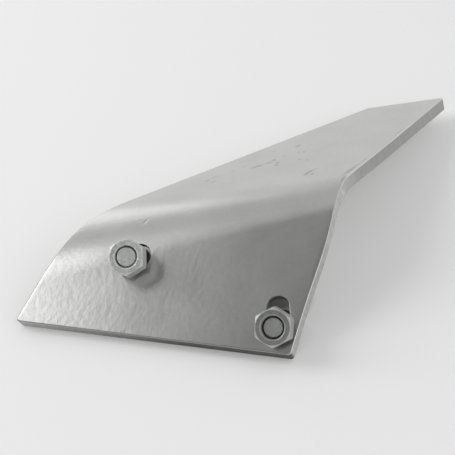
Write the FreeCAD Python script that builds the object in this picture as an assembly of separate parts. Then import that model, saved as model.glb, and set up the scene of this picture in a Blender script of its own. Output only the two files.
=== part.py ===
import FreeCAD, Part
import os
from math import acos, atan2, cos, exp, hypot, radians, sin, tan

# Mouldboard extension: a pressed steel plate with two plough bolts and
# their nuts hanging loose in its slots.  All sizes are in millimetres.
#
# The plate is drawn flat first.  In the flat drawing x runs along the bend
# and y runs from the bolted panel up to the free panel.  The point x=0, y=0
# is where the middle line of the bend meets the right-hand edge.

# Plate
plate_thick = 8.0
right_edge_angle = 71.0
right_low_length = 100.0
right_up_length = 158.0
bottom_angle = 14.7
bottom_length = 163.0
end_angle = 4.3
end_length = 50.0
left_low_angle = 58.5
left_low_length = 69.6
corner_round = 2.0
rim_chamfer = 0.7
left_turn_half = 12.0

# Bend: a part of a cone, tight at the right-hand edge and slack at the left
bend_angle = 45.0
bend_radius_right = 36.0
bend_radius_left = 75.0
bend_length = 154.5

# The right-hand edge swells below the bend and draws in above it
swell = 1.9
swell_at = -33.0
draw = 1.2
draw_at = 17.0
wave_spread = 28.0

# Slots, countersunk on the hidden side for the bolt heads
slot_mouth = 1.0
right_slot_top = (-38.3, -66.5)
right_slot_run = 13.4
right_slot_angle = 90.0
right_slot_width = 12.8
right_slot_sink = 3.9
left_slot_top = (-116.7, -24.3)
left_slot_run = 7.5
left_slot_angle = 17.0
left_slot_width = 15.0
left_slot_sink = 5.0

# Plough bolt M12 x 25, thread drawn plain
bolt_length = 25.0
bolt_head = 19.0
bolt_head_rim = 0.5
bolt_neck = 12.0
bolt_neck_length = 4.0
bolt_neck_round = 1.0
bolt_shank = 11.8
bolt_end_chamfer = 1.0

# Nut M12
nut_flats = 19.0
nut_height = 10.0
nut_chamfer_angle = 30.0
nut_bore_clearance = 0.1
nut_mouth = 13.0

# How each bolt hangs.  "along" and "across" say where its axis passes the
# visible face, measured from the slot's upper centre down the slot and to
# its left, "lean" is the angle off square, "lean_to" the way the head swings,
# "below" the length from the visible face down to the flat of the head
right_along = 11.1
right_across = 0.0
right_lean = 22.5
right_lean_to = 91.0
right_below = 10.5
right_nut_past_end = 2.0
right_nut_turn = -10.0
left_along = 4.0
left_across = -1.0
left_lean = 17.0
left_lean_to = 107.0
left_below = 10.3
left_nut_past_end = 0.4
left_nut_turn = -4.0

Vec = FreeCAD.Vector

# The cone of the bend
cone_slope = (bend_radius_left - bend_radius_right) / bend_length
cone_half = atan2(cone_slope, 1.0)
apex_x = bend_radius_right / cone_slope
turn = acos((cos(radians(bend_angle)) - sin(cone_half) ** 2) / cos(cone_half) ** 2)
fan_half = turn * sin(cone_half) / 2.0


def bent(x, y, depth=0.0):
    """Where a point of the flat drawing goes, with its depth under the visible face."""
    reach = hypot(apex_x - x, y)
    angle = atan2(y, apex_x - x)
    on_cone = max(-fan_half, min(fan_half, angle))
    roll = on_cone / sin(cone_half)
    axis = Vec(-cos(cone_half), 0, -sin(cone_half))
    outward = Vec(-sin(cone_half), 0, cos(cone_half))
    outward = outward * cos(roll) + Vec(0, 1, 0) * sin(roll)
    along = axis * cos(cone_half) + outward * sin(cone_half)
    normal = outward * cos(cone_half) - axis * sin(cone_half)
    side = along.cross(normal)
    rest = angle - on_cone
    point = along * (reach * cos(rest)) + side * (reach * sin(rest)) - normal * depth
    return point + Vec(apex_x, 0, 0)


def near_normal():
    """The normal of the bolted panel's visible face."""
    a = bent(right_low_x, right_low_y)
    b = bent(left_low_x, left_low_y)
    c = bent(right_low_x, right_low_y / 2.0)
    n = (b - a).cross(c - b)
    n.normalize()
    return n if n.z > 0 else n * -1.0


def right_x(y):
    """The right-hand edge of the flat drawing at height y."""
    swelling = swell * exp(-((y - swell_at) / wave_spread) ** 2)
    drawing = draw * exp(-((y - draw_at) / wave_spread) ** 2)
    return y / tan(radians(right_edge_angle)) + swelling - drawing


# Corners of the flat drawing
right_low_y = -right_low_length * sin(radians(right_edge_angle))
right_low_x = right_x(right_low_y)
right_up_y = right_up_length * sin(radians(right_edge_angle))
right_up_x = right_x(right_up_y)
left_low_x = right_low_x - bottom_length * cos(radians(bottom_angle))
left_low_y = right_low_y + bottom_length * sin(radians(bottom_angle))
left_up_x = right_up_x - end_length * cos(radians(end_angle))
left_up_y = right_up_y + end_length * sin(radians(end_angle))
kink_x = left_low_x + left_low_length * cos(radians(left_low_angle))
kink_y = left_low_y + left_low_length * sin(radians(left_low_angle))
low_slope = 1.0 / tan(radians(left_low_angle))
up_slope = (left_up_x - kink_x) / (left_up_y - kink_y)


def left_x(y):
    """The left-hand edge of the flat drawing at height y, eased over at the kink."""
    if y < kink_y - left_turn_half:
        return kink_x + low_slope * (y - kink_y)
    if y > kink_y + left_turn_half:
        return kink_x + up_slope * (y - kink_y)
    into = y - kink_y + left_turn_half
    ease = (up_slope - low_slope) * into ** 2 / (4.0 * left_turn_half)
    return kink_x + low_slope * (y - kink_y) + ease


def on_ruling(edge, angle):
    """The point where a straight line of the bend meets an edge."""
    x = 0.0
    for step in range(60):
        x = edge((apex_x - x) * tan(angle))
    return (x, (apex_x - x) * tan(angle))


def slab(wire, normal):
    """A flat piece of plate under a closed outline on the visible face."""
    return Part.Face(wire).extrude(normal * -plate_thick)


def curve_through(points):
    """A smooth edge through points."""
    curve = Part.BSplineCurve()
    curve.interpolate(points)
    return curve.toShape()


def edge_points(edge, y_from, y_to, count):
    """Points along an edge of the flat drawing, bent."""
    points = []
    for k in range(count + 1):
        y = y_from + (y_to - y_from) * k / count
        points.append(bent(edge(y), y))
    return points


# The bolted panel: flat, below the bend
low_right = on_ruling(right_x, -fan_half)
low_left = on_ruling(left_x, -fan_half)
low_edge = curve_through(edge_points(right_x, right_low_y, low_right[1], 8))
low_a = bent(left_low_x, left_low_y)
low_b = bent(right_low_x, right_low_y)
low_c = bent(*low_right)
low_d = bent(*low_left)
low_wire = Part.Wire([
    Part.makeLine(low_a, low_b),
    low_edge,
    Part.makeLine(low_c, low_d),
    Part.makeLine(low_d, low_a),
])
low_normal = near_normal()
low_panel = slab(low_wire, low_normal)

# The free panel: flat, above the bend
up_right = on_ruling(right_x, fan_half)
up_left = on_ruling(left_x, fan_half)
up_edge = curve_through(edge_points(right_x, up_right[1], right_up_y, 10))
up_a = bent(*up_left)
up_b = bent(*up_right)
up_c = bent(right_up_x, right_up_y)
up_d = bent(left_up_x, left_up_y)
up_wire = Part.Wire([
    Part.makeLine(up_a, up_b),
    up_edge,
    Part.makeLine(up_c, up_d),
    Part.makeLine(up_d, up_a),
])
up_normal = (up_b - up_a).cross(up_c - up_b)
up_normal.normalize()
up_panel = slab(up_wire, up_normal)

# The bend between them, through cross-sections along its straight lines
bend_steps = 8
sections = []
for k in range(bend_steps + 1):
    angle = -fan_half + 2.0 * fan_half * k / bend_steps
    left = on_ruling(left_x, angle)
    right = on_ruling(right_x, angle)
    corners = [
        bent(left[0], left[1]),
        bent(right[0], right[1]),
        bent(right[0], right[1], plate_thick),
        bent(left[0], left[1], plate_thick),
    ]
    sections.append(Part.makePolygon(corners + [corners[0]]))
bend = Part.makeLoft(sections, True, False)
plate = low_panel.fuse([bend, up_panel])


def upright_edges(shape, corner):
    """Edges that run through the plate at one corner of the drawing."""
    top = bent(*corner)
    under = bent(corner[0], corner[1], plate_thick)
    found = []
    for edge in shape.Edges:
        if len(edge.Vertexes) != 2:
            continue
        ends = [v.Point for v in edge.Vertexes]
        if min(top.distanceToPoint(p) for p in ends) < 0.01:
            if min(under.distanceToPoint(p) for p in ends) < 0.01:
                found.append(edge)
    return found


corners = [
    (left_low_x, left_low_y),
    (right_low_x, right_low_y),
    (right_up_x, right_up_y),
    (left_up_x, left_up_y),
]
rounded = []
for corner in corners:
    rounded += upright_edges(plate, corner)
plate = plate.makeFillet(corner_round, rounded)


def visible_rims(shape):
    """The edges all round the plate where a cut face meets the visible side."""
    found = []
    for edge in shape.Edges:
        middle = edge.valueAt((edge.FirstParameter + edge.LastParameter) / 2.0)
        normals = []
        for face in shape.ancestorsOfType(edge, Part.Face):
            normals.append(face.normalAt(*face.Surface.parameter(middle)))
        if len(normals) < 2 or abs(normals[0].dot(normals[1])) > 0.3:
            continue
        if max(normals[0].z, normals[1].z) > 0.7:
            found.append(edge)
    return found


plate = plate.makeChamfer(rim_chamfer, visible_rims(plate))

# Axes on the bolted panel's visible face
low_x = bent(right_low_x, right_low_y) - bent(left_low_x, right_low_y)
low_x.normalize()
low_y = low_normal.cross(low_x)


def on_low_face(angle):
    """A direction on the bolted panel, from its angle in the flat drawing."""
    return low_x * cos(radians(angle)) + low_y * sin(radians(angle))


def slot_wire(top, run, angle, half, depth):
    """A slot outline, round at both ends, at a depth under the visible face."""
    heading = on_low_face(angle)
    across = low_normal.cross(heading)
    far = bent(*top) - low_normal * depth
    near = far - heading * run
    return Part.Wire([
        Part.makeLine(near - across * half, far - across * half),
        Part.Arc(far - across * half, far + heading * half, far + across * half).toShape(),
        Part.makeLine(far + across * half, near + across * half),
        Part.Arc(near + across * half, near - heading * half, near - across * half).toShape(),
    ])


def slot_cutter(top, run, angle, half, sink):
    """A slot through the plate, its mouth bevelled and a 45 degree countersink behind."""
    past = 1.0
    land = plate_thick - sink
    wide = slot_wire(top, run, angle, half, -past)
    straight = Part.Face(wide).extrude(low_normal * -(past + land + past))
    mouth = Part.makeLoft([
        slot_wire(top, run, angle, half + slot_mouth + past, -past),
        slot_wire(top, run, angle, half, slot_mouth),
    ], True, True)
    countersink = Part.makeLoft([
        slot_wire(top, run, angle, half, land),
        slot_wire(top, run, angle, half + sink + past, plate_thick + past),
    ], True, True)
    return straight.fuse([mouth, countersink])


slots = [
    (right_slot_top, right_slot_run, right_slot_angle, right_slot_width / 2.0, right_slot_sink),
    (left_slot_top, left_slot_run, left_slot_angle, left_slot_width / 2.0, left_slot_sink),
]
for slot in slots:
    plate = plate.cut(slot_cutter(*slot))


def make_bolt():
    """A plough bolt standing on its flat head, its axis up."""
    cone = (bolt_head - bolt_neck) / 2.0
    neck_top = bolt_head_rim + cone + bolt_neck_length
    head = Part.makeCylinder(bolt_head / 2.0, bolt_head_rim)
    taper = Part.makeCone(bolt_head / 2.0, bolt_neck / 2.0, cone, Vec(0, 0, bolt_head_rim))
    half = bolt_neck / 2.0
    neck = Part.makeBox(bolt_neck, bolt_neck, neck_top - 1.0, Vec(-half, -half, 1.0))
    posts = [e for e in neck.Edges if abs(e.tangentAt(e.FirstParameter).z) > 0.9]
    neck = neck.makeFillet(bolt_neck_round, posts)
    plain = bolt_length - bolt_end_chamfer
    shank = Part.makeCylinder(bolt_shank / 2.0, plain)
    tip = Part.makeCone(
        bolt_shank / 2.0, bolt_shank / 2.0 - bolt_end_chamfer, bolt_end_chamfer, Vec(0, 0, plain)
    )
    return head.fuse([taper, neck, shank, tip]).removeSplitter()


def make_nut():
    """A hexagon nut standing on one face, a corner along y."""
    across = nut_flats / cos(radians(30.0))
    points = []
    for k in range(7):
        turn_to = radians(30.0 + 60.0 * k)
        points.append(Vec(across / 2.0 * cos(turn_to), across / 2.0 * sin(turn_to), 0))
    body = Part.Face(Part.makePolygon(points)).extrude(Vec(0, 0, nut_height))
    face = nut_flats / 2.0 * 0.97
    fall = tan(radians(nut_chamfer_angle))
    reach = across / 2.0 + 1.0
    drop = (reach - face) * fall
    turning = Part.makePolygon([
        Vec(0, 0, 0),
        Vec(face, 0, 0),
        Vec(reach, 0, drop),
        Vec(reach, 0, nut_height - drop),
        Vec(face, 0, nut_height),
        Vec(0, 0, nut_height),
        Vec(0, 0, 0),
    ])
    body = body.common(Part.Face(turning).revolve(Vec(0, 0, 0), Vec(0, 0, 1), 360))
    bore = bolt_shank / 2.0 + nut_bore_clearance
    mouth = nut_mouth / 2.0
    lip = mouth - bore
    hole = Part.makeCylinder(bore, nut_height + 2.0, Vec(0, 0, -1.0))
    low_mouth = Part.makeCone(mouth + 1.0, bore, lip + 1.0, Vec(0, 0, -1.0))
    top_mouth = Part.makeCone(bore, mouth + 1.0, lip + 1.0, Vec(0, 0, nut_height - lip))
    return body.cut(hole.fuse([low_mouth, top_mouth]))


def hang(slot, along, across, lean, lean_to, below):
    """The foot and the axis of a bolt that hangs in a slot."""
    heading = on_low_face(slot[2])
    cross = bent(*slot[0]) - heading * along + low_normal.cross(heading) * across
    to_head = low_normal * -cos(radians(lean)) + on_low_face(lean_to) * sin(radians(lean))
    return cross + to_head * below, to_head * -1.0


def set_at(shape, foot, axis, ahead):
    """Stand a piece at its place, with its own y as near as can be to a direction."""
    y_dir = ahead - axis * ahead.dot(axis)
    y_dir.normalize()
    x_dir = y_dir.cross(axis)
    m = FreeCAD.Matrix(
        x_dir.x, y_dir.x, axis.x, foot.x,
        x_dir.y, y_dir.y, axis.y, foot.y,
        x_dir.z, y_dir.z, axis.z, foot.z,
        0, 0, 0, 1,
    )
    return placed(shape, m)


def placed(shape, matrix):
    copy = shape.copy()
    copy.Placement = FreeCAD.Placement(matrix).multiply(copy.Placement)
    return copy


def turned(direction, axis, angle):
    """A direction turned about an axis."""
    return FreeCAD.Rotation(axis, angle).multVec(direction)


def hung_pair(slot, along, across, lean, lean_to, below, past_end, nut_turn):
    """A bolt and its nut, in place, the neck square to the slot."""
    foot, axis = hang(slot, along, across, lean, lean_to, below)
    bolt = set_at(make_bolt(), foot, axis, on_low_face(slot[2]))
    seat = foot + axis * (bolt_length + past_end - nut_height)
    nut = set_at(make_nut(), seat, axis, turned(low_y, axis, nut_turn))
    return bolt, nut


right_bolt, right_nut = hung_pair(
    slots[0], right_along, right_across, right_lean, right_lean_to, right_below,
    right_nut_past_end, right_nut_turn,
)
left_bolt, left_nut = hung_pair(
    slots[1], left_along, left_across, left_lean, left_lean_to, left_below,
    left_nut_past_end, left_nut_turn,
)

# Lay the part down as it comes to rest, on three corners of its hidden face:
# both ends of the bottom edge and the left end of the free edge
def under(corner):
    return bent(corner[0], corner[1], plate_thick)


def lowest_near(corner, up):
    """The lowest point of the plate's rim around one corner."""
    best = None
    for vertex_edge in plate.Edges:
        ends = [v.Point for v in vertex_edge.Vertexes]
        if min(under(corner).distanceToPoint(p) for p in ends) > 2.0 * corner_round:
            continue
        for point in vertex_edge.discretize(60):
            if under(corner).distanceToPoint(point) > 2.0 * corner_round:
                continue
            if best is None or point.dot(up) < best.dot(up):
                best = point
    return best


feet = [corners[0], corners[1], corners[3]]
spots = [under(c) for c in feet]
for step in range(6):
    up = (spots[1] - spots[0]).cross(spots[2] - spots[1])
    up.normalize()
    spots = [lowest_near(c, up) for c in feet]
forward = Vec(1, 0, 0)
x_dir = forward - up * forward.dot(up)
x_dir.normalize()
y_dir = up.cross(x_dir)
lay = FreeCAD.Matrix(
    x_dir.x, x_dir.y, x_dir.z, 0,
    y_dir.x, y_dir.y, y_dir.z, 0,
    up.x, up.y, up.z, 0,
    0, 0, 0, 1,
)
pieces = {
    "extension_plate": plate,
    "plough_bolt_right": right_bolt,
    "hex_nut_right": right_nut,
    "plough_bolt_left": left_bolt,
    "hex_nut_left": left_nut,
}
laid = {name: placed(shape, lay) for name, shape in pieces.items()}
box = Part.Compound(list(laid.values())).optimalBoundingBox(False, False)
for name in laid:
    laid[name].translate(Vec(-box.Center.x, -box.Center.y, -box.ZMin))

os.makedirs("parts", exist_ok=True)
for name, shape in laid.items():
    shape.exportStep("parts/" + name + ".step")
    print(name, round(shape.Volume, 1), shape.isValid(), len(shape.Solids))
print("size", round(box.XLength, 2), round(box.YLength, 2), round(box.ZLength, 2))
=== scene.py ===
import bmesh
import bpy
import numpy as np
from math import atan2, cos, exp, hypot, pi, radians, sin, tan
from mathutils import Matrix, Vector, noise


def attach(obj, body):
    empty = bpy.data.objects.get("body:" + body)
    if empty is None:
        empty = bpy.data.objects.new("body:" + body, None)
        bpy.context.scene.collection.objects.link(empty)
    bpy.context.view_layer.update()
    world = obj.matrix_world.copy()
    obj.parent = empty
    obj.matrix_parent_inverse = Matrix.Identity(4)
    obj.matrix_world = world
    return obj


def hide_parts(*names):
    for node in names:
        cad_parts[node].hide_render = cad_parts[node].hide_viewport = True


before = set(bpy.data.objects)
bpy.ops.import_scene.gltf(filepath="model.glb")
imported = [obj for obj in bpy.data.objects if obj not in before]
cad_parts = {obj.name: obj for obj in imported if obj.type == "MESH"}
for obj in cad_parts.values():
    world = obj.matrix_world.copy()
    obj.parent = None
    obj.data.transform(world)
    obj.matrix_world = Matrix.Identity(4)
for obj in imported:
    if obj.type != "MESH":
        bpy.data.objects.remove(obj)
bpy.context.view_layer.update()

# Camera: a long lens from the front, a little to the right, held with a slight roll.
scene = bpy.context.scene
bpy.ops.object.camera_add(
    location=(0.130707, -0.648784, 0.504446), rotation=(0.918945, 0.141028, 0.104670)
)
camera = bpy.context.object
camera.data.lens = 110.77
camera.data.sensor_width = 36.0
camera.data.clip_start = 0.05
camera.data.clip_end = 50.0
scene.camera = camera
scene.view_settings.view_transform = "Standard"

# Floor: pale matt studio paper, far larger than the view, shown a little whiter to the
# camera and in reflections than the light alone makes it.  Under each slot, where little
# light comes in, its colour and that glow are painted darker as a painted shade.
bpy.ops.mesh.primitive_plane_add(size=12.0, location=(0, 0, 0))
floor = bpy.context.object
floor.name = "studio_floor"
paper = bpy.data.materials.new("studio_paper")
paper.use_nodes = True
tree = paper.node_tree
shade = tree.nodes["Principled BSDF"]
shade.inputs["Roughness"].default_value = 0.9
shade.inputs["Specular IOR Level"].default_value = 0.1
shade.inputs["Emission Color"].default_value = (1.0, 1.0, 1.0, 1)


def add_math(tree, operation, first, second):
    """Two values, the first a socket and the second a socket or a number, worked into one."""
    step = tree.nodes.new("ShaderNodeMath")
    step.operation = operation
    tree.links.new(first, step.inputs[0])
    if isinstance(second, float):
        step.inputs[1].default_value = second
    else:
        tree.links.new(second, step.inputs[1])
    return step.outputs["Value"]


def add_range(tree, value, low, high, start=0.3, end=0.7):
    """A value stretched from one range to another."""
    stretch = tree.nodes.new("ShaderNodeMapRange")
    stretch.inputs["From Min"].default_value = start
    stretch.inputs["From Max"].default_value = end
    stretch.inputs["To Min"].default_value = low
    stretch.inputs["To Max"].default_value = high
    tree.links.new(value, stretch.inputs["Value"])
    return stretch.outputs["Result"]


def add_mix(tree, factor, first, second):
    """Two colours, each a socket or three numbers, mixed by a factor."""
    blend = tree.nodes.new("ShaderNodeMix")
    blend.data_type = "RGBA"
    tree.links.new(factor, blend.inputs["Factor"])
    for socket, colour in (("A", first), ("B", second)):
        slot = [s for s in blend.inputs if s.name == socket and s.type == "RGBA"][0]
        if isinstance(colour, tuple):
            slot.default_value = (*colour, 1)
        else:
            tree.links.new(colour, slot)
    return [s for s in blend.outputs if s.type == "RGBA"][0]


rays = tree.nodes.new("ShaderNodeLightPath")
seen = add_math(tree, "MAXIMUM", rays.outputs["Is Camera Ray"], rays.outputs["Is Glossy Ray"])
here = tree.nodes.new("ShaderNodeTexCoord")
distances = []
for under_slot in ((0.026, -0.062, 0.0), (-0.049, -0.018, 0.0)):
    away = tree.nodes.new("ShaderNodeVectorMath")
    away.operation = "DISTANCE"
    away.inputs[1].default_value = under_slot
    tree.links.new(here.outputs["Object"], away.inputs[0])
    distances.append(away.outputs["Value"])
nearest = add_math(tree, "MINIMUM", distances[0], distances[1])
# Painted shade: near the points under the slots the paper's glow and colour are darkened.
open_to_light = add_range(tree, nearest, 0.0, 1.0, 0.006, 0.021)
lift = add_math(tree, "MULTIPLY", seen, 0.17)
shown = add_math(tree, "MULTIPLY", lift, open_to_light)
tree.links.new(shown, shade.inputs["Emission Strength"])
# Painted shade: the paper's colour falls to a dark grey under the slots.
paper_with_painted_shade = add_mix(tree, open_to_light, (0.24, 0.24, 0.24), (0.84, 0.84, 0.84))
tree.links.new(paper_with_painted_shade, shade.inputs["Base Color"])
floor.data.materials.append(paper)

# Light: a pale tent, brightest low behind the plate and dark overhead, with one strong
# soft box high on the left, a faint one behind on the left and one in front on the right.
world = bpy.data.worlds.new("light_tent")
scene.world = world
world.use_nodes = True
tent = world.node_tree
sky = tent.nodes["Background"]
view = tent.nodes.new("ShaderNodeTexCoord")
height = tent.nodes.new("ShaderNodeVectorMath")
height.operation = "DOT_PRODUCT"
height.inputs[1].default_value = (-0.167, -0.333, 0.553)
ramp = tent.nodes.new("ShaderNodeValToRGB")
tent.links.new(view.outputs["Generated"], height.inputs[0])
level = add_math(tent, "ADD", height.outputs["Value"], 0.333)
tent.links.new(level, ramp.inputs["Fac"])
stops = ramp.color_ramp.elements
stops[0].position = 0.0
stops[0].color = (0.93, 0.935, 0.94, 1)
stops[1].position = 1.0
stops[1].color = (0.05, 0.05, 0.05, 1)
for place, tone in (
    (0.22, 0.76), (0.367, 0.64), (0.50, 0.58), (0.613, 0.56),
    (0.733, 0.58), (0.813, 0.56), (0.873, 0.45), (0.915, 0.11),
):
    stop = stops.new(place)
    stop.color = (tone, tone, tone, 1)
tent.links.new(ramp.outputs["Color"], sky.inputs["Color"])
sky.inputs["Strength"].default_value = 1.0

for name, place, aim, wide, tall, power in (
    ("box_overhead_left", (-1.84, 0.12, 1.30), (-0.92, 0.12, 0.0), 1.2, 1.8, 19.0),
    ("box_back_left", (-1.70, 2.00, 1.05), (0.0, 0.0, 0.05), 1.8, 1.1, 6.5),
    ("box_front_right", (1.80, -1.40, 1.70), (0.0, 0.0, 0.0), 1.8, 1.8, 11.0),
):
    bpy.ops.object.light_add(type="AREA", location=place)
    lamp = bpy.context.object
    lamp.name = name
    lamp.data.shape = "RECTANGLE"
    lamp.data.size = wide
    lamp.data.size_y = tall
    lamp.data.energy = power
    lamp.rotation_euler = (Vector(aim) - lamp.location).to_track_quat("-Z", "Y").to_euler()

# Plate: one piece of 8 mm steel, cut to shape, slotted for two plough bolts, pressed to a
# bend that opens out to the left, and sprayed silver.  It is drawn flat, x along the bend
# and y from the bolted panel to the free one, then worn, bent and laid down.
plate_thick = 0.008
bottom_left = (-0.190206, -0.053189)
bottom_right = (-0.032542, -0.094552)
top_right = (0.051440, 0.149392)
top_left = (0.001581, 0.153141)
kink = (-0.153840, 0.006154)
kink_half = 0.012
edge_slope = 1.0 / tan(radians(71.0))
swell, swell_at, waist, waist_at, wave_spread = 0.0019, -0.033, 0.0012, 0.017, 0.028
low_slope = 1.0 / tan(radians(58.5))
up_slope = (top_left[0] - kink[0]) / (top_left[1] - kink[1])


def right_edge(y):
    """The right-hand edge: straight but for a swell below the bend and a waist above it."""
    out = swell * exp(-((y - swell_at) / wave_spread) ** 2)
    back = waist * exp(-((y - waist_at) / wave_spread) ** 2)
    return y * edge_slope + out - back


def left_edge(y):
    """The left-hand edge: two straight runs with an eased turn where they meet."""
    past = y - kink[1]
    if past < -kink_half:
        return kink[0] + low_slope * past
    if past > kink_half:
        return kink[0] + up_slope * past
    ease = (up_slope - low_slope) * (past + kink_half) ** 2 / (4.0 * kink_half)
    return kink[0] + low_slope * past + ease


def shared_out(step, steps, edge):
    """Where a grid line lies between 0 and 1, with a wider first and last cell."""
    if step == 0:
        return 0.0
    if step == steps:
        return 1.0
    return edge + (1.0 - 2.0 * edge) * (step - 1) / (steps - 2)


columns, rows, border = 112, 168, 0.0032
bpy.ops.object.select_all(action="DESELECT")
bpy.ops.mesh.primitive_grid_add(x_subdivisions=columns, y_subdivisions=rows, size=1.0)
plate = bpy.context.object
plate.name = "pressed_plate"
for vertex in plate.data.vertices:
    up = shared_out(round((vertex.co.y + 0.5) * rows), rows, border / 0.21)
    left_y = bottom_left[1] + (top_left[1] - bottom_left[1]) * up
    right_y = bottom_right[1] + (top_right[1] - bottom_right[1]) * up
    start = Vector((left_edge(left_y), left_y, 0.0))
    end = Vector((right_edge(right_y), right_y, 0.0))
    across = shared_out(
        round((vertex.co.x + 0.5) * columns), columns, border / (end - start).length
    )
    vertex.co = start.lerp(end, across)
thickness = plate.modifiers.new("thickness", "SOLIDIFY")
thickness.thickness = plate_thick
thickness.offset = -1.0
bpy.ops.object.modifier_apply(modifier="thickness")


def choose(kind, test):
    """Select the edges, faces or vertices of the mesh being edited that pass a test."""
    bpy.ops.mesh.select_mode(type=kind)
    bpy.ops.mesh.select_all(action="DESELECT")
    work = bmesh.from_edit_mesh(bpy.context.object.data)
    items = {"VERT": work.verts, "EDGE": work.edges, "FACE": work.faces}[kind]
    for item in items:
        if test(item):
            item.select_set(True)
    bmesh.update_edit_mesh(bpy.context.object.data)


def upright(edge):
    return abs(edge.verts[0].co.z - edge.verts[1].co.z) > 0.004


def on_rim(edge):
    """An edge between the wall and the visible or hidden face."""
    slopes = sorted(abs(face.normal.z) for face in edge.link_faces)
    return len(slopes) == 2 and slopes[0] < 0.3 and slopes[1] > 0.9


corner_round = 0.002
bpy.ops.object.mode_set(mode="EDIT")
for corner, angle in (
    (bottom_left, 73.2), (bottom_right, 94.3), (top_right, 75.3), (top_left, 132.3),
):
    choose("EDGE", lambda edge: upright(edge)
           and (edge.verts[0].co.xy - Vector(corner)).length < 1e-5)
    bpy.ops.mesh.bevel(
        offset=corner_round / tan(radians(angle / 2.0)), segments=5, affect="EDGES",
        clamp_overlap=False,
    )
choose("EDGE", on_rim)
bpy.ops.mesh.bevel(offset=0.0008, segments=3, affect="EDGES", clamp_overlap=False)
choose("EDGE", upright)
bpy.ops.mesh.subdivide(number_cuts=6)
bpy.ops.object.mode_set(mode="OBJECT")


def draw_out(rings, middle):
    """Extrudes the selected disc through a row of rings, each a height and a radius."""
    for before, after in zip(rings, rings[1:]):
        bpy.ops.mesh.extrude_region_move(
            TRANSFORM_OT_translate={"value": (0, 0, after[0] - before[0])}
        )
        narrow = after[1] / before[1]
        bpy.ops.transform.resize(
            value=(narrow, narrow, 1.0), center_override=middle + Vector((0, 0, after[0]))
        )


# The plate's two slots: punched with a rounded mouth and countersunk behind for the heads,
# each as its upper centre, its run down the plate, its heading, half width and sink
slot_mouth = 0.0003
slots = (
    ((-0.0383, -0.0665), 0.0134, 90.0, 0.0064, 0.0039),
    ((-0.1167, -0.0243), 0.0075, 17.0, 0.0075, 0.0050),
)
for top, run, angle, half, sink in slots:
    heading = Vector((cos(radians(angle)), sin(radians(angle)), 0.0))
    middle = Vector((top[0], top[1], 0.0))
    rings = [(0.002, half + slot_mouth)]
    for step in range(6):
        turn = radians(18.0 * step)
        rings.append((slot_mouth * (cos(turn) - 1.0), half + slot_mouth * (1.0 - sin(turn))))
    rings.append((sink - plate_thick, half))
    rings.append((-plate_thick - 0.001, half + sink + 0.001))
    bpy.ops.object.select_all(action="DESELECT")
    bpy.ops.mesh.primitive_circle_add(
        vertices=48, radius=rings[0][1], fill_type="NGON",
        location=middle + Vector((0, 0, rings[0][0])), rotation=(0, 0, radians(angle + 3.75)),
    )
    punch = bpy.context.object
    bpy.ops.object.transform_apply()
    bpy.ops.object.mode_set(mode="EDIT")
    draw_out(rings, middle)
    choose("VERT", lambda point: (point.co - middle).dot(heading) < 0.0)
    bpy.ops.transform.translate(value=heading * -run)
    bpy.ops.mesh.select_all(action="SELECT")
    bpy.ops.mesh.normals_make_consistent(inside=False)
    bpy.ops.object.mode_set(mode="OBJECT")
    bpy.ops.object.select_all(action="DESELECT")
    plate.select_set(True)
    bpy.context.view_layer.objects.active = plate
    opening = plate.modifiers.new("slot", "BOOLEAN")
    opening.object = punch
    opening.operation = "DIFFERENCE"
    opening.solver = "EXACT"
    bpy.ops.object.modifier_apply(modifier="slot")
    bpy.data.objects.remove(punch)

# Wear on the plate: rust pits on the free panel, nicks on the bend and dents at the
# right-hand edge, each as x, y, half length, half width, its heading and its depth, in mm
pits = (
    (-81.6, 48.9, 2.2, 1.5, 20, 0.16), (-84.5, 44.6, 2.4, 1.4, 30, 0.20),
    (-80.2, 39.8, 2.0, 1.4, 0, 0.16), (-78.3, 49.2, 1.6, 1.2, 0, 0.12),
    (-71.1, 55.4, 1.8, 1.2, 40, 0.12), (-64.8, 62.0, 2.0, 1.2, 50, 0.12),
    (-56.7, 58.1, 5.0, 1.4, 12, 0.30), (-49.9, 61.6, 2.2, 1.6, 0, 0.25),
    (-47.5, 66.3, 1.8, 1.5, 0, 0.30), (-44.4, 59.9, 1.8, 1.3, 0, 0.28),
    (-44.6, 55.1, 1.7, 1.3, 0, 0.25), (-42.0, 71.0, 1.4, 1.1, 0, 0.20),
    (-49.9, 85.6, 2.0, 1.4, 0, 0.12), (-35.8, 88.8, 2.2, 1.6, 20, 0.34),
    (-30.0, 73.5, 1.5, 1.2, 0, 0.22), (-33.5, 74.5, 1.3, 1.0, 0, 0.18),
    (-30.5, 58.9, 1.6, 1.2, 0, 0.20), (-25.8, 55.6, 1.5, 1.1, 0, 0.18),
    (-22.6, 28.7, 2.4, 1.7, 60, 0.45), (-20.4, 32.2, 1.8, 1.2, 30, 0.30),
    (-19.0, 26.1, 1.6, 1.2, 0, 0.26), (-18.2, 34.5, 1.4, 1.0, 0, 0.20),
    (-28.0, 86.8, 1.5, 1.1, 0, 0.12), (-21.5, 69.2, 1.3, 1.0, 0, 0.12),
    (-113.6, -0.3, 2.6, 1.0, 55, 0.10), (-117.5, -2.7, 1.4, 1.1, 0, 0.07),
    (-140.5, -4.2, 1.4, 1.1, 0, 0.06), (-133.2, -54.7, 5.0, 1.2, 75, 0.012),
    (-128.5, -49.4, 3.0, 1.0, 80, 0.012),
    (3.3, 22.8, 12.0, 1.7, 66, 0.40), (0.9, 10.2, 5.0, 1.4, 80, 0.28),
    (9.5, 36.5, 6.0, 1.2, 70, 0.20), (27.0, 85.0, 9.0, 1.1, 71, 0.16),
)
plate_mesh = plate.data
bpy.ops.object.mode_set(mode="EDIT")
choose("FACE", lambda face: face.calc_center_median().z > -0.0005 and any(
    hypot(face.calc_center_median().x * 1000 - x, face.calc_center_median().y * 1000 - y)
    < reach * 1.8 for x, y, reach, wide, heading, deep in pits
))
bpy.ops.mesh.subdivide(number_cuts=3)
bpy.ops.object.mode_set(mode="OBJECT")


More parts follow.
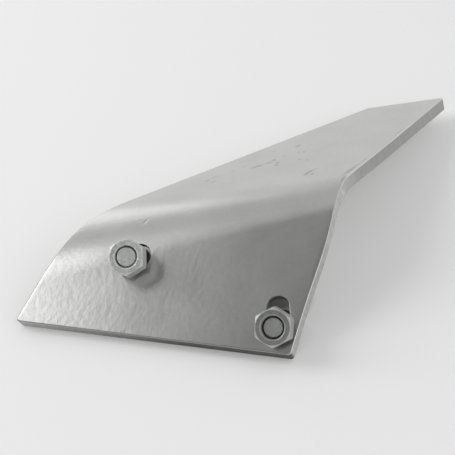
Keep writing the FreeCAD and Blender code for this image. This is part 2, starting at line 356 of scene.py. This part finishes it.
def read_points(mesh):
    """The places of a mesh's vertices and the ways that they face, each as rows of three."""
    spots = np.empty(len(mesh.vertices) * 3)
    mesh.vertices.foreach_get("co", spots)
    facing = np.empty(len(mesh.vertices) * 3)
    mesh.vertices.foreach_get("normal", facing)
    return spots.reshape(-1, 3), facing.reshape(-1, 3)


points, outward = read_points(plate_mesh)
flat = points.copy()


def rough_at(spots, size, seed):
    """Smooth random values from -1 to 1 that change over a length, one for each spot."""
    shift = Vector((seed * 7.3, seed * 3.1, seed * 5.7))
    return np.array([noise.noise(Vector(spot) / size + shift) for spot in spots])


walls = np.clip(1.0 - np.abs(outward[:, 2]) * 1.4, 0.0, 1.0)
depth = 0.00007 + 0.00005 * rough_at(flat, 0.034, 1) + 0.000012 * rough_at(flat, 0.012, 2)
depth += 0.000006 * rough_at(flat, 0.0045, 3)
depth += walls * (0.00010 + 0.00009 * rough_at(flat * (1, 1, 0.45), 0.0034, 4))
depth += walls * 0.00006 * rough_at(flat, 0.0016, 5)
stain_and_shade = np.zeros(len(flat))

# The pits: bowls with a ragged rim, pressed in from the visible face only and a little dark
# inside.  Those on the free panel run long towards its end.
visible = np.clip((flat[:, 2] + 0.0012) / 0.0008, 0.0, 1.0)
for x, y, reach, wide, heading, deep in pits:
    dx = flat[:, 0] * 1000 - x
    dy = (flat[:, 1] * 1000 - y) * (0.55 if y > 22 and x < -15 else 1.0)
    along = (dx * cos(radians(heading)) + dy * sin(radians(heading))) / reach
    aside = (dy * cos(radians(heading)) - dx * sin(radians(heading))) / wide
    ragged = 1.0 + 0.30 * rough_at(flat * ((np.hypot(dx, dy) < reach + 2)[:, None]), 0.0011, x)
    bowl = np.clip(1.0 - (along ** 2 + aside ** 2) * ragged * 0.7, 0.0, 1.0) ** 1.6
    depth += visible * bowl * deep * 0.001
    stain_and_shade = np.maximum(stain_and_shade, visible * bowl * min(0.6, deep * 2.0))
points -= outward * depth[:, None]

# Darker on the wall along the bottom edge, more so towards the right, and a little darker on
# the walls of the free panel; painted shade on the walls facing left and inside the slots
low_wall = np.clip(-outward[:, 1] * 2.0 - 0.6, 0.0, 1.0)
far_wall = np.clip(flat[:, 1] / 0.03, 0.0, 1.0)
rise = 0.25 + 0.60 * np.clip((flat[:, 0] + 0.18) / 0.09, 0.0, 1.0)
# Painted shade: the walls facing left are darkened.
shaded_left_walls = np.clip(-outward[:, 0] * 2.0, 0.0, 1.0)
walls_darker_and_shaded = np.maximum(low_wall * rise, 0.35 * far_wall + 0.55 * shaded_left_walls)
stain_and_shade = np.maximum(stain_and_shade, np.clip(walls * 2.0 - 0.6, 0.0, 1.0) * walls_darker_and_shaded)
# Painted shade inside each slot: its walls are darkened.
for top, run, angle, half, sink in slots:
    dx, dy = flat[:, 0] - top[0], flat[:, 1] - top[1]
    ahead = dx * cos(radians(angle)) + dy * sin(radians(angle))
    aside = dy * cos(radians(angle)) - dx * sin(radians(angle))
    over = ahead - np.clip(ahead, -run, 0.0)
    across = outward[:, 0] * cos(radians(angle)) + outward[:, 1] * sin(radians(angle))
    beside = outward[:, 1] * cos(radians(angle)) - outward[:, 0] * sin(radians(angle))
    close = np.hypot(over, aside) < half + sink + 0.0012
    inward = (over * across + aside * beside < 0.0) * close
    inside = inward * np.clip((-flat[:, 2] - 0.0003) / 0.0010, 0.0, 1.0)
    inside *= np.clip((flat[:, 2] + plate_thick - 0.0004) / 0.0010, 0.0, 1.0)
    stain_and_shade = np.maximum(stain_and_shade, inside)

# The bend: a part of a cone, its point to the right of the plate on the middle line
apex = 0.1426154
cone_half = 0.2472618
fan_half = 0.0993018
reach = np.hypot(apex - points[:, 0], points[:, 1])
angle = np.arctan2(points[:, 1], apex - points[:, 0])
on_cone = np.clip(angle, -fan_half, fan_half)
roll = (on_cone / sin(cone_half))[:, None]
level = np.array((-cos(cone_half), 0.0, -sin(cone_half)))
spoke = np.array((-sin(cone_half), 0.0, cos(cone_half))) * np.cos(roll)
spoke += np.array((0.0, 1.0, 0.0)) * np.sin(roll)
ruling = level * cos(cone_half) + spoke * sin(cone_half)
normal = spoke * cos(cone_half) - level * sin(cone_half)
side = np.cross(ruling, normal)
rest = (angle - on_cone)[:, None]
bent = ruling * (reach[:, None] * np.cos(rest)) + side * (reach[:, None] * np.sin(rest))
bent += normal * points[:, 2:3]
bent[:, 0] += apex

# How the plate lies: on both ends of its bottom edge and on the far end of its free edge
lay = np.array((
    (0.99058713, -0.01112608, -0.13643076),
    (0.0, 0.9966912, -0.0812813),
    (0.13688368, 0.08051621, 0.98730947),
))
laid = bent @ lay.T + np.array((0.06409249, -0.02847765, 0.0511382))
plate_mesh.vertices.foreach_set("co", laid.ravel())
place = plate_mesh.attributes.new("flat_place", "FLOAT_VECTOR", "POINT")
place.data.foreach_set("vector", flat.ravel())
stains_and_painted_shade = plate_mesh.attributes.new("stains_and_painted_shade", "FLOAT", "POINT")
rim_highlight = plate_mesh.attributes.new("rim_highlight", "FLOAT", "POINT")
edge_on = np.clip(1.0 - np.abs(np.abs(outward[:, 2]) - 0.72) * 3.5, 0.0, 1.0)
# Painted shade: the left-hand rim lines are darkened, further than any other mark, to near black.
shaded_left_rims = np.clip(edge_on * 2.0, 0.0, 1.0) * np.clip(-outward[:, 0] * 3.0, 0.0, 1.0)
stain_and_shade = np.maximum(stain_and_shade, 2.0 * shaded_left_rims)
stains_and_painted_shade.data.foreach_set("value", stain_and_shade)
# Painted highlight: the rounded rim lines, all but the left-hand ones, are made lighter in colour.
rim_highlight.data.foreach_set("value", edge_on * np.clip(1.0 + outward[:, 0] * 3.0, 0.0, 1.0))
for face in plate_mesh.polygons:
    ups = [abs(outward[index][2]) for index in face.vertices]
    face.material_index = 1 if max(ups) < 0.45 else 0
plate_mesh.update()
bpy.ops.object.select_all(action="DESELECT")
plate.select_set(True)
bpy.context.view_layer.objects.active = plate
bpy.ops.object.shade_smooth_by_angle(angle=radians(50.0))
even = plate.modifiers.new("even", "WEIGHTED_NORMAL")
even.keep_sharp = True
bpy.ops.object.modifier_apply(modifier="even")


def add_noise(tree, vector, scale, detail, roughness):
    """A noise texture read at a vector."""
    cloud = tree.nodes.new("ShaderNodeTexNoise")
    cloud.inputs["Scale"].default_value = scale
    cloud.inputs["Detail"].default_value = detail
    cloud.inputs["Roughness"].default_value = roughness
    tree.links.new(vector, cloud.inputs["Vector"])
    return cloud.outputs["Fac"]


def add_bump(tree, height, distance, strength=1.0, under=None):
    """A bump from a height, over another bump where one is given."""
    bump = tree.nodes.new("ShaderNodeBump")
    bump.inputs["Distance"].default_value = distance
    bump.inputs["Strength"].default_value = strength
    tree.links.new(height, bump.inputs["Height"])
    if under is not None:
        tree.links.new(under, bump.inputs["Normal"])
    return bump.outputs["Normal"]


def read(tree, name, kind="Fac"):
    """One of a piece's own attributes."""
    source = tree.nodes.new("ShaderNodeAttribute")
    source.attribute_name = name
    return source.outputs[kind]


silver = bpy.data.materials.new("silver_paint")
silver.use_nodes = True
tree = silver.node_tree
shade = tree.nodes["Principled BSDF"]
spot = read(tree, "flat_place", "Vector")
clouds = add_noise(tree, spot, 28.0, 4.0, 0.55)
grain = add_noise(tree, spot, 430.0, 1.0, 0.5)
body = add_mix(tree, add_range(tree, clouds, 0.0, 1.0), (0.515, 0.52, 0.505), (0.595, 0.60, 0.585))
flake = add_mix(tree, add_range(tree, grain, 0.0, 0.22), body, (0.645, 0.65, 0.635))
# Painted highlight on the rounded rim lines: the paint is mixed towards a light grey there.
rim_highlight_share = add_range(tree, read(tree, "rim_highlight"), 0.0, 0.9, 0.1, 0.8)
paint_with_rim_highlight = add_mix(tree, rim_highlight_share, flake, (0.84, 0.85, 0.84))
# Rust in the pits, darker walls, and painted shade in the slots and on the left, mixed in.
stain_and_shade_share = add_range(tree, read(tree, "stains_and_painted_shade"), 0.0, 0.75, 0.05, 0.9)
with_stain_and_shade = add_mix(tree, stain_and_shade_share, paint_with_rim_highlight, (0.22, 0.22, 0.215))
# Painted shade on the left-hand rim lines, where the value passes 1: mixed to near black.
left_rim_shade_share = add_range(tree, read(tree, "stains_and_painted_shade"), 0.0, 1.0, 1.0, 1.8)
paint_with_left_rim_shade = add_mix(tree, left_rim_shade_share, with_stain_and_shade, (0.05, 0.05, 0.05))
tree.links.new(paint_with_left_rim_shade, shade.inputs["Base Color"])
shade.inputs["Metallic"].default_value = 0.9
rough = add_range(tree, clouds, 0.28, 0.305)
tree.links.new(rough, shade.inputs["Roughness"])
peel = add_noise(tree, spot, 300.0, 2.0, 0.5)
tree.links.new(add_bump(tree, peel, 0.00013, 0.5), shade.inputs["Normal"])
plate_mesh.materials.append(silver)

cut = bpy.data.materials.new("silver_paint_on_cut_edge")
cut.use_nodes = True
tree = cut.node_tree
shade = tree.nodes["Principled BSDF"]
spot = read(tree, "flat_place", "Vector")
flow = tree.nodes.new("ShaderNodeMapping")
flow.inputs["Scale"].default_value = (1.0, 1.0, 0.16)
tree.links.new(spot, flow.inputs["Vector"])
drag = add_noise(tree, flow.outputs["Vector"], 520.0, 3.0, 0.6)
lumps = add_noise(tree, spot, 240.0, 4.0, 0.6)
body = add_mix(tree, add_range(tree, lumps, 0.0, 1.0), (0.60, 0.605, 0.60), (0.76, 0.765, 0.755))
dragged = add_mix(tree, add_range(tree, drag, 0.0, 0.45), body, (0.46, 0.46, 0.455))
# Darker walls, with painted shade in the slots and on the walls facing left, mixed in.
stain_and_shade_share = add_range(tree, read(tree, "stains_and_painted_shade"), 0.0, 1.0, 0.0, 1.0)
with_stain_and_shade = add_mix(tree, stain_and_shade_share, dragged, (0.035, 0.035, 0.033))
tree.links.new(with_stain_and_shade, shade.inputs["Base Color"])
shade.inputs["Metallic"].default_value = 0.75
tree.links.new(add_range(tree, lumps, 0.42, 0.60), shade.inputs["Roughness"])
ridges = add_bump(tree, drag, 0.00030, 0.8)
tree.links.new(add_bump(tree, lumps, 0.00020, 0.6, ridges), shade.inputs["Normal"])
plate_mesh.materials.append(cut)
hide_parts("extension_plate")
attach(plate, "root")

# Zinc: a thick matt coat from hot-dip galvanising, lumpy, mottled and a little stained, on
# both bolts and both nuts, duller on the right-hand pair, and with painted shade at the necks.
zinc = bpy.data.materials.new("galvanised_zinc")
zinc.use_nodes = True
tree = zinc.node_tree
shade = tree.nodes["Principled BSDF"]
own = tree.nodes.new("ShaderNodeTexCoord")
spot = own.outputs["Object"]
clouds = add_noise(tree, spot, 190.0, 3.0, 0.6)
specks = add_noise(tree, spot, 700.0, 2.0, 0.6)
body = add_mix(tree, add_range(tree, clouds, 0.0, 1.0), (0.66, 0.67, 0.64), (0.84, 0.85, 0.82))
speckled = add_mix(tree, add_range(tree, specks, 0.0, 0.65), body, (0.34, 0.35, 0.32))
colour = speckled
# Last of the mixes: painted shade, near black, on the bolts' necks.
for name, most, tone in (
    ("dulled", 0.68, (0.14, 0.145, 0.135)),
    ("worn", 0.6, (0.70, 0.71, 0.69)),
    ("painted_shade_on_neck", 0.9, (0.03, 0.03, 0.03)),
):
    share = add_range(tree, read(tree, name), 0.0, most, 0.0, 1.0)
    colour = add_mix(tree, share, colour, tone)
tree.links.new(colour, shade.inputs["Base Color"])
shade.inputs["Metallic"].default_value = 0.55
tree.links.new(add_range(tree, clouds, 0.46, 0.60), shade.inputs["Roughness"])
lumps = add_bump(tree, clouds, 0.00025, 0.5)
tree.links.new(add_bump(tree, specks, 0.00014, 0.8, lumps), shade.inputs["Normal"])


def add_values(piece, name, values):
    """A number for each vertex of a piece, for its material to read."""
    own = piece.data.attributes.new(name, "FLOAT", "POINT")
    own.data.foreach_set("value", values)


def coat(piece, voxel, lumpiness):
    """Joins a piece's shells into one skin under a coat of zinc with small lumps in it."""
    skin = piece.modifiers.new("skin", "REMESH")
    skin.mode = "VOXEL"
    skin.voxel_size = voxel
    bpy.ops.object.modifier_apply(modifier="skin")
    soft = piece.modifiers.new("soft", "SMOOTH")
    soft.factor = 0.5
    soft.iterations = 2
    bpy.ops.object.modifier_apply(modifier="soft")
    spots, facing = read_points(piece.data)
    lumps = rough_at(spots, 0.0016, 1) + 0.8 * rough_at(spots, 0.0007, 2)
    spots -= facing * (lumpiness * (1.0 + lumps))[:, None]
    piece.data.vertices.foreach_set("co", spots.ravel())
    slope = facing[:, 2]
    outer = np.clip((np.hypot(spots[:, 0], spots[:, 1]) - 0.0075) / 0.001, 0.35, 1.0)
    bevels = outer * np.clip((0.96 - slope) / 0.06, 0.0, 1.0)
    add_values(piece, "worn", bevels * np.clip(slope / 0.35 + 0.5, 0.0, 1.0))
    bpy.ops.object.shade_smooth()
    piece.data.materials.clear()
    piece.data.materials.append(zinc)


def stand(piece, foot, axis, ahead):
    """Moves a piece's mesh from upright at the origin to its foot, axis and heading."""
    up = Vector(axis).normalized()
    across = Vector(ahead).cross(up).normalized()
    turn = Matrix((across, up.cross(across), up)).transposed()
    piece.data.transform(Matrix.Translation(Vector(foot)) @ turn.to_4x4())
    piece.data.update()


# Plough bolts: M12 x 25, forged with a flat countersunk head and a square neck that the
# slot keeps from turning, the thread rolled right up to the neck.
head, head_rim, neck, neck_top, bolt_length = 0.019, 0.0005, 0.012, 0.008, 0.025
shank_start, neck_start, head_ease = 0.004, 0.001, 0.0002
crest, pitch, groove = 0.0059, 0.00175, 0.00085
end_radius, end_start = 0.00527, 0.0228
bpy.ops.object.select_all(action="DESELECT")
bpy.ops.mesh.primitive_cylinder_add(
    vertices=72, radius=crest, depth=bolt_length - shank_start,
    location=(0, 0, (bolt_length + shank_start) / 2),
)
bolt = bpy.context.object
bolt.name = "plough_bolt"
bpy.ops.object.transform_apply()
bpy.ops.object.mode_set(mode="EDIT")
choose("EDGE", upright)
bpy.ops.mesh.subdivide(number_cuts=110)
bpy.ops.object.mode_set(mode="OBJECT")
for vertex in bolt.data.vertices:
    x, y, z = vertex.co
    radius = hypot(x, y)
    if radius < crest * 0.5:
        continue
    way = (z / pitch - atan2(y, x) / (2.0 * pi)) % 1.0
    cut_in = groove * max(0.0, 1.0 - abs(way - 0.5) * 2.3)
    tip = crest - (crest - end_radius) * min(1.0, max(0.0, (z - end_start) / 0.0004))
    end_bevel = max(0.0, z - (bolt_length - 0.0003))
    narrow = min(crest - cut_in, tip - end_bevel) / radius
    vertex.co.x *= narrow
    vertex.co.y *= narrow
shells = [bolt]
bpy.ops.mesh.primitive_circle_add(vertices=72, radius=head / 2 - head_ease, fill_type="NGON")
shells.append(bpy.context.object)
bpy.ops.object.mode_set(mode="EDIT")
rings = [
    (0.0, head / 2 - head_ease), (head_ease, head / 2), (head_rim, head / 2),
    (head_rim + (head - neck) / 2, neck / 2), (0.006, neck / 2 - 0.0004),
]
draw_out(rings, Vector((0, 0, 0)))
bpy.ops.mesh.select_all(action="SELECT")
bpy.ops.mesh.normals_make_consistent(inside=False)
bpy.ops.object.mode_set(mode="OBJECT")
bpy.ops.mesh.primitive_cube_add(
    size=1.0, location=(0, 0, (neck_start + neck_top) / 2),
    scale=(neck, neck, neck_top - neck_start),
)
shells.append(bpy.context.object)
bpy.ops.object.transform_apply()
bpy.ops.object.mode_set(mode="EDIT")
choose("EDGE", upright)
bpy.ops.mesh.bevel(offset=0.001, segments=4, affect="EDGES")
bpy.ops.object.mode_set(mode="OBJECT")
for shell in shells:
    shell.select_set(True)
bpy.context.view_layer.objects.active = bolt
bpy.ops.object.join()
coat(bolt, 0.00021, 0.00005)
heights = read_points(bolt.data)[0][:, 2]
wear = bolt.data.attributes["worn"].data
for index in np.flatnonzero(heights > bolt_length - 0.0006):
    wear[index].value = 0.5
# Painted shade: the neck and the thread just above it, down in the slot, are darkened to near
# black.
above_head = np.clip((heights - 0.0008) / 0.0005, 0, 1)
add_values(bolt, "painted_shade_on_neck", above_head * np.clip((0.0115 - heights) / 0.0025, 0, 1))

# Each bolt hangs loose in its slot: the middle of its head, its axis and its heading
right_bolt = bolt
left_bolt = bolt.copy()
left_bolt.data = bolt.data.copy()
scene.collection.objects.link(left_bolt)
for piece, node, foot, axis, ahead in (
    (right_bolt, "plough_bolt_right", (0.0310739, -0.0906998, 0.0072953),
     (-0.0652779, -0.762125, 0.6441306), (-0.0919579, 0.6473551, 0.7566209)),
    (left_bolt, "plough_bolt_left", (-0.0540664, -0.0466475, 0.0199691),
     (0.0034561, -0.6847466, 0.7287731), (0.931982, 0.2663803, 0.245868)),
):
    piece.name = node + "_zinc"
    add_values(piece, "dulled", np.full(len(piece.data.vertices), float(node.endswith("right"))))
    stand(piece, foot, axis, ahead)
    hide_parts(node)
    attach(piece, "root")

# Nuts: M12 hexagon nuts, 19 mm across the flats and 10 mm high, both faces bevelled at 30
# degrees and the thread opened out at each mouth.
flats, nut_height = 0.019, 0.010
bore, mouth, throat, cut_depth = 0.00595, 0.0070, 0.0062, 0.0006
bpy.ops.object.select_all(action="DESELECT")
bpy.ops.mesh.primitive_cylinder_add(
    vertices=6, radius=flats / 2 / cos(radians(30)), depth=nut_height,
    location=(0, 0, nut_height / 2),
)
nut = bpy.context.object
nut.name = "hex_nut"
bpy.ops.object.transform_apply()
face_radius = flats / 2 * 0.97
reach = flats / 2 / cos(radians(30)) + 0.001
drop = (reach - face_radius) * tan(radians(30))
bpy.ops.mesh.primitive_circle_add(vertices=96, radius=face_radius, fill_type="NGON")
turning = bpy.context.object
bpy.ops.object.mode_set(mode="EDIT")
rings = [(0.0, face_radius), (drop, reach), (nut_height - drop, reach), (nut_height, face_radius)]
draw_out(rings, Vector((0, 0, 0)))
bpy.ops.mesh.select_all(action="SELECT")
bpy.ops.mesh.normals_make_consistent(inside=False)
bpy.ops.object.mode_set(mode="OBJECT")
bpy.ops.mesh.primitive_circle_add(
    vertices=72, radius=2.0 * mouth - throat, fill_type="NGON", location=(0, 0, -0.0005)
)
tap = bpy.context.object
bpy.ops.object.transform_apply()
bpy.ops.object.mode_set(mode="EDIT")
rings = [
    (-0.0005, 2.0 * mouth - throat), (0.0005, throat), (0.0020, throat), (0.0023, bore),
    (nut_height - 0.0023, bore), (nut_height - 0.0020, throat), (nut_height - 0.0005, throat),
    (nut_height + 0.0005, 2.0 * mouth - throat),
]
draw_out(rings, Vector((0, 0, 0)))
bpy.ops.mesh.select_all(action="SELECT")
bpy.ops.mesh.normals_make_consistent(inside=False)
bpy.ops.object.mode_set(mode="OBJECT")
bpy.ops.object.select_all(action="DESELECT")
nut.select_set(True)
bpy.context.view_layer.objects.active = nut
for tool, way in ((turning, "INTERSECT"), (tap, "DIFFERENCE")):
    shaping = nut.modifiers.new("shaping", "BOOLEAN")
    shaping.object = tool
    shaping.operation = way
    shaping.solver = "EXACT"
    bpy.ops.object.modifier_apply(modifier="shaping")
    bpy.data.objects.remove(tool)
coat(nut, 0.00020, 0.00004)
for vertex in nut.data.vertices:
    x, y, z = vertex.co
    radius = hypot(x, y)
    if radius < bore + 0.00014:
        way = (z / pitch - atan2(y, x) / (2.0 * pi)) % 1.0
        cut_out = cut_depth * max(0.0, 1.0 - abs(way - 0.5) * 2.3)
        vertex.co.x *= 1.0 + cut_out / radius
        vertex.co.y *= 1.0 + cut_out / radius

# Each nut sits near its bolt's end: the middle of its lower face, its axis and its heading
right_nut = nut
left_nut = nut.copy()
left_nut.data = nut.data.copy()
scene.collection.objects.link(left_nut)
for piece, node, foot, axis, ahead in (
    (right_nut, "hex_nut_right", (0.0299641, -0.103656, 0.0182456),
     (-0.0652779, -0.762125, 0.6441306), (0.0819796, 0.6392294, 0.764634)),
    (left_nut, "hex_nut_left", (-0.0540132, -0.0571926, 0.0311922),
     (0.0034561, -0.6847466, 0.7287731), (0.0083054, 0.7287719, 0.6847061)),
):
    piece.name = node + "_zinc"
    add_values(piece, "dulled", np.full(len(piece.data.vertices), float(node.endswith("right"))))
    stand(piece, foot, axis, ahead)
    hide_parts(node)
    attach(piece, "root")
